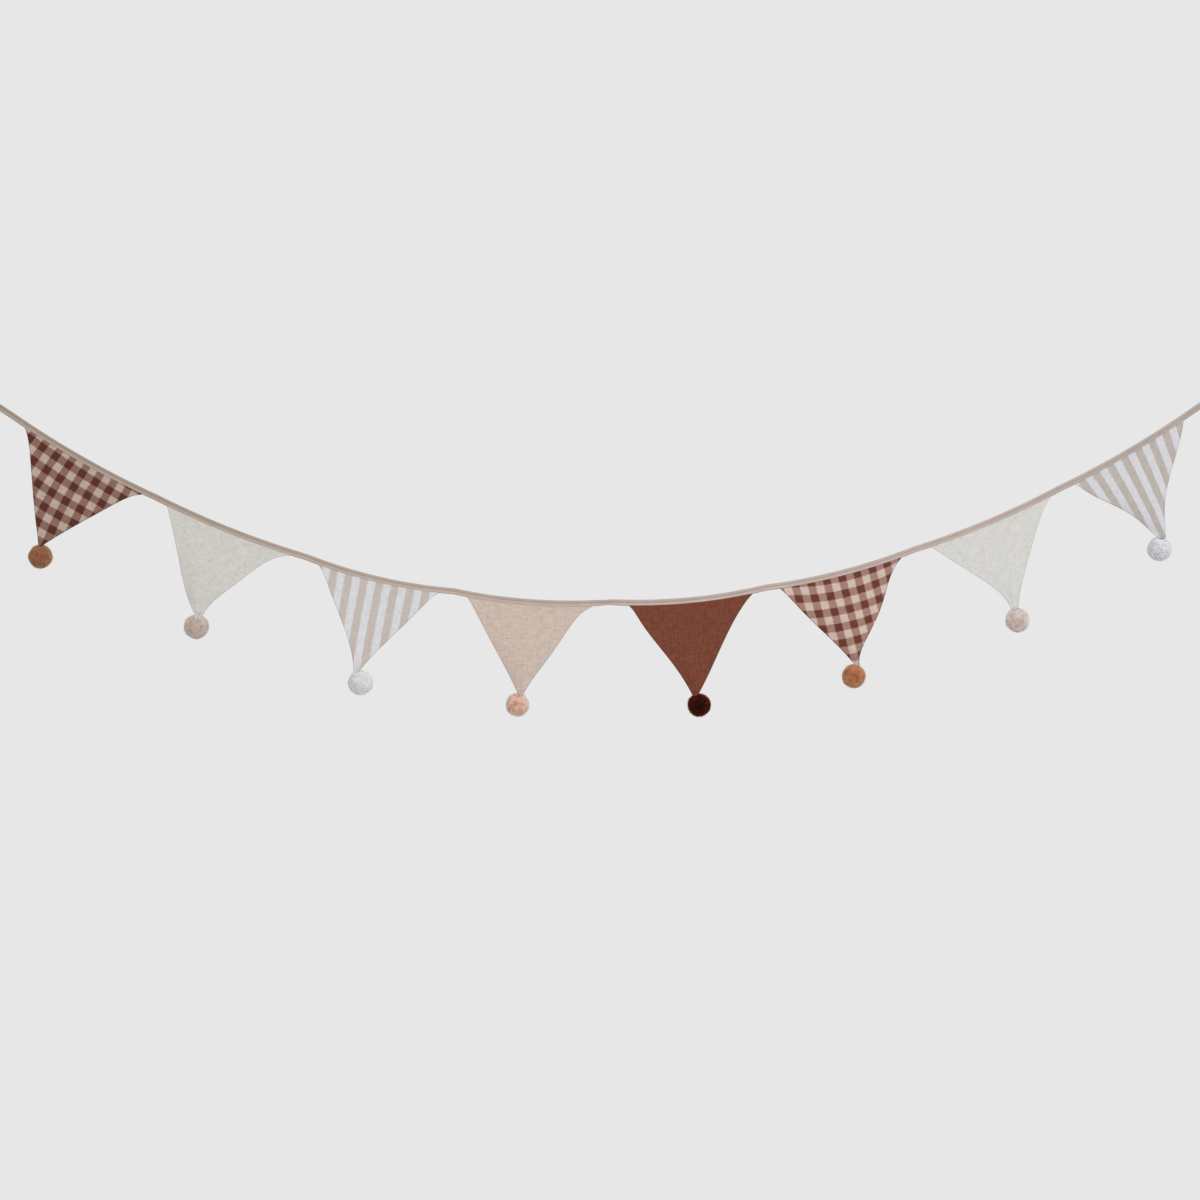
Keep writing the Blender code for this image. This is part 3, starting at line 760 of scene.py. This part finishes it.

# Yarn-dyed striped cotton: beige and cool white bands about 12.5 mm wide. bands: (period in metres, phase).
# How dark the painted shade along the side seams is.
STRIPE_EDGE_SHADE = 0.76
STRIPE_GRAIN = (0.06, 0.07)
Stripe = namedtuple("Stripe", "beige white bands")
STRIPES = {
    "stripe_left": Stripe("BDB3AB", "D0CFD2", (0.02512, 2.535)),
    "stripe_right": Stripe("B2AAA4", "CBCBD0", (0.02587, -0.416)),
}
for name, stripe in STRIPES.items():
    soft = {"Sheen_Weight": COTTON_SHEEN, **RAISED_FIBRE}
    cotton, tree, shader = new_material(f"{name}_cotton", COTTON_ROUGHNESS, **soft)
    places = node(tree, "UVMap", uv_map="cloth").outputs[0]
    height, _, uneven = weave(tree, places, THREAD_PITCH)
    band = place_wave(tree, places, 0, *stripe.bands)
    yarns = {"Color1": linear(stripe.beige), "Color2": linear(stripe.white)}
    tint = node(tree, "MixRGB", {"Fac": band, **yarns}).outputs[0]
    finish_cloth(tree, shader, places, tint, height, uneven, STRIPE_EDGE_SHADE, STRIPE_GRAIN)
    CLOTHS[name] = cotton

CLOTH_SLOTS = (
    "brown_gingham",
    "cream_linen",
    "striped_cotton",
    "sand_linen",
    "rust_linen",
    "brown_gingham",
    "cream_linen",
    "striped_cotton",
)
for number, (cell, pennant, slot) in enumerate(zip(CELLS, PENNANTS, CLOTH_SLOTS), 1):
    rows = pennant_rows(cell, pennant, number)
    piece = new_piece(f"cloth_{number}", rolled_strip(rows), CLOTHS[pennant.cloth])
    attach(piece, "root")
    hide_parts(f"pennant_{number}")


# Pompoms: acrylic yarn wound on a ring, bound tightly at its middle, cut and sheared to a ball, then sewn on
# behind the pennant's point. Each lock is a few cut fibres, and some loose fibres stand out beyond them.
GROUND_SHARE = 0.80  # of the radius, where the locks part from the dense ground
GROUND_SUBDIVISIONS = 5
LOCK_JITTER = 0.0003
LOCK_TILT = 0.16
TILT_ALIKE = 0.5  # share of that tilt that neighbours have in common
TILT_OWN = 0.6
CURL_RATE = 4.5
LOCK_SHORTER = 0.0010
LOCK_SPREAD = 1.04
LOCK_INSET = 0.0009  # of the locks' ends from the ball's outline, where only the loose fibres reach
LOCK_CROWN = 0.0004
LOCK_SHADE = 0.5
LOCK_SHADE_VARIES = 0.16
LUMP = 0.0009
LUMP_RATE = 1.7
STRAYS = 3000
STRAY_RADIUS = 0.00016
STRAY_LENGTH = 0.0023
STRAY_SHORTEST = 0.25  # share of that length
STRAY_TILT = 0.45
STRAY_TAPER = 0.4
REACH_RIM = 0.85  # marks for the yarn's material: 0 at a lock's root and 1 at its tip
REACH_CROWN = 1.0
REACH_STRAY = 1.1
REACH_STRAY_END = 2.0
PARTED_BELOW = 0.0012  # how far below the point and beside it the locks still lie behind it
PARTED_BESIDE = 0.0008
POINT_GAP = 0.0002
# Patches at random in which the locks take the roots' painted shade colour.
BLOTCH_RATE = 110  # deeper patches about 9 mm apart
BLOTCH_EDGE = (0.42, 0.62)  # of the noise, where a patch begins and where it is deepest
BLOTCH_STRENGTH = 0.8
CLUMP_RATE = 260.0
CLUMP_TINT = (0.90, 1.07)
LOCK_TINT = (0.90, 1.08)
FIBRE_RATE = 3200.0
# A lock's root colour is painted shade, for the depths among the locks.
ROOT_TO_TIP = (0.2, 0.95)  # marks between which a lock's root colour turns to that of its tip
# A loose fibre's lighter colour is painted light, for the bright fuzz at the ball's rim.
LOCK_TO_LOOSE = (1.1, 1.7)  # the same for the colour of a loose fibre
FUZZ = 1.0
FUZZ_SPREAD = 0.5

# tip: a lock's colour at its tip. root: its colour at the root, darker as painted shade among the locks.
# loose: a stray fibre's end, lighter as painted light at the ball's rim. fuzz: the fine fuzz that lightens
# the ball's rim.
Yarn = namedtuple("Yarn", "tip root loose fuzz")
YARNS = {
    "camel": Yarn("A86B48", "774022", "ECD0A8", "E8C8A4"),
    "mauve": Yarn("E3CCBA", "BAA18B", "F8F4F0", "E0ECFF"),
    "white": Yarn("F3F3F4", "E2E2E5", "F8F8F8", "FFFFFF"),
    "peach": Yarn("FFD6BA", "DC9A76", "FFFCFA", "DCF0FF"),
    "maroon": Yarn("1E0808", "0A0202", "A44C36", "9A4630"),
    "tan": Yarn("CF7F49", "8E4216", "FFEECC", "FFECCC"),
    "mauve_light": Yarn("F4E3D9", "D2BAAB", "FFFCF8", "F0F8FF"),
    "white_cool": Yarn("F0F0F4", "DEDEE4", "FCFCFE", "FFFFFF"),
}


def yarn_material(name, colours):
    """Brushed acrylic yarn: soft, with no gloss, and each lock a little lighter or darker than the next.
    Roots are painted darker as shade, and loose fibres lighter as painted light.
    """
    yarn, tree, shader = new_material(
        f"{name}_yarn",
        1.0,
        Sheen_Weight=FUZZ,
        Sheen_Roughness=FUZZ_SPREAD,
        Sheen_Tint=linear(colours.fuzz),
        Specular_IOR_Level=0.05,
    )
    tip, root, loose = linear(colours.tip), linear(colours.root), linear(colours.loose)
    reach = node(tree, "Attribute", attribute_name="reach").outputs["Fac"]
    shade = node(tree, "Attribute", attribute_name="shade").outputs["Fac"]
    spot = node(tree, "TexCoord").outputs["Object"]
    start, end = ROOT_TO_TIP
    # Painted shade: each lock darker towards its root, down among the other locks.
    outer = node(tree, "MapRange", {"Value": reach, "From Min": start, "From Max": end}).outputs[0]
    lock = node(tree, "MixRGB", {"Fac": outer, "Color1": root, "Color2": tip}).outputs[0]
    patches = {"Vector": spot, "Scale": BLOTCH_RATE, "Detail": 3.0, "Roughness": 0.6}
    blotches = node(tree, "TexNoise", patches).outputs["Fac"]
    depth = {"From Min": BLOTCH_EDGE[0], "From Max": BLOTCH_EDGE[1], "To Max": BLOTCH_STRENGTH}
    deep_painted_shade = node(tree, "MapRange", {"Value": blotches, **depth}).outputs[0]
    blotched_with_shade = node(tree, "MixRGB", {"Fac": deep_painted_shade, "Color1": lock, "Color2": root}).outputs[0]
    # Painted light: loose fibres turn lighter towards their ends, for the bright fuzz at the rim.
    start, end = LOCK_TO_LOOSE
    lit_loose_share = node(tree, "MapRange", {"Value": reach, "From Min": start, "From Max": end}).outputs[0]
    tint = node(tree, "MixRGB", {"Fac": lit_loose_share, "Color1": blotched_with_shade, "Color2": loose}).outputs[0]
    clumps = node(tree, "TexNoise", {"Vector": spot, "Scale": CLUMP_RATE, "Detail": 2.0}).outputs["Fac"]
    fibres = node(tree, "TexNoise", {"Vector": spot, "Scale": FIBRE_RATE, "Detail": 2.0}).outputs["Fac"]
    varied = shade_by(tree, shade_by(tree, tint, clumps, *CLUMP_TINT), shade, *LOCK_TINT)
    tree.links.new(varied, shader.inputs["Base Color"])
    relief = node(tree, "Bump", {"Height": fibres, "Strength": 0.6, "Distance": 0.0002})
    tree.links.new(relief.outputs[0], shader.inputs["Normal"])
    return yarn


def make_pompom(cell, pennant, seed):
    """A dense ground with a lock on each of its faces, and loose fibres on some of the locks."""
    chance = random.Random(seed)
    noise.seed_set(seed)  # or else noise_vector differs from run to run
    neck, down, right_way = neck_frame(cell, pennant)
    centre = neck + pennant.ball * down
    ball = bmesh.new()
    shade = ball.verts.layers.float.new("shade")
    reach = ball.verts.layers.float.new("reach")
    ground = GROUND_SHARE * pennant.ball
    bmesh.ops.create_icosphere(ball, subdivisions=GROUND_SUBDIVISIONS, radius=ground)
    for vert in ball.verts:
        vert.co += Vector([chance.uniform(-LOCK_JITTER, LOCK_JITTER) for _ in range(3)])
        vert.co = vert.co.normalized() * ground
        vert[shade] = LOCK_SHADE
    tips = bmesh.ops.extrude_discrete_faces(ball, faces=ball.faces[:])["faces"]
    lock_shades = []
    for tip in tips:
        middle = tip.calc_center_median()
        way = middle.normalized()
        lump = LUMP * noise.noise(way * LUMP_RATE + Vector((seed * 5, 0, 0)))
        lean = noise.noise_vector(way * CURL_RATE + Vector((0, seed * 5, 0))) * TILT_ALIKE
        lean += Vector([chance.uniform(-1, 1) for _ in range(3)]) * TILT_OWN
        way = (way + LOCK_TILT * lean).normalized()
        rise = pennant.ball - LOCK_INSET + lump - chance.random() ** 2 * LOCK_SHORTER - ground
        grey = chance.gauss(LOCK_SHADE, LOCK_SHADE_VARIES)
        lock_shades.append(grey)
        for vert in tip.verts:
            vert.co = middle + LOCK_SPREAD * (vert.co - middle) + rise * way
            vert[shade] = grey
            vert[reach] = REACH_RIM
    poked = bmesh.ops.poke(ball, faces=tips)
    for crown, grey in zip(poked["verts"], lock_shades):
        crown.co += crown.co.normalized() * LOCK_CROWN
        crown[shade] = grey
        crown[reach] = REACH_CROWN
    strays = chance.sample(poked["faces"], STRAYS)
    bmesh.ops.inset_individual(ball, faces=strays, thickness=STRAY_RADIUS / 4)
    for root in strays:
        middle = root.calc_center_median()
        for vert in root.verts:
            vert.co = middle + (vert.co - middle).normalized() * STRAY_RADIUS
            vert[reach] = REACH_STRAY
    for end in bmesh.ops.extrude_discrete_faces(ball, faces=strays)["faces"]:
        middle = end.calc_center_median()
        lean = middle.normalized() + STRAY_TILT * Vector([chance.uniform(-1, 1) for _ in range(3)])
        out = STRAY_LENGTH * chance.uniform(STRAY_SHORTEST, 1.0) * lean.normalized()
        for vert in end.verts:
            vert.co = middle + STRAY_TAPER * (vert.co - middle) + out
            vert[reach] = REACH_STRAY_END
    for vert in ball.verts:
        below = pennant.ball + vert.co.dot(down)
        sideways = abs(vert.co.dot(right_way))
        parted = point_half_width(pennant, max(below - PARTED_BELOW, 0)) + PARTED_BESIDE
        if below < pennant.over + PARTED_BELOW and sideways < parted:
            behind = HALF_CLOTH + POINT_GAP - NECK_FORWARD - point_forward(pennant, min(below, pennant.over))
            vert.co.y = max(vert.co.y, behind)
    bmesh.ops.translate(ball, verts=ball.verts, vec=centre)
    return ball


YARN_SLOTS = (
    "camel_yarn",
    "mauve_yarn",
    "white_yarn",
    "peach_yarn",
    "maroon_yarn",
    "camel_yarn",
    "mauve_yarn",
    "white_yarn",
)
for number, (cell, pennant, slot) in enumerate(zip(CELLS, PENNANTS, YARN_SLOTS), 1):
    yarn = yarn_material(pennant.yarn, YARNS[pennant.yarn])
    pompom = new_piece(f"yarn_ball_{number}", make_pompom(cell, pennant, number), yarn)
    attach(pompom, "root")
    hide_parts(f"pompom_{number}")
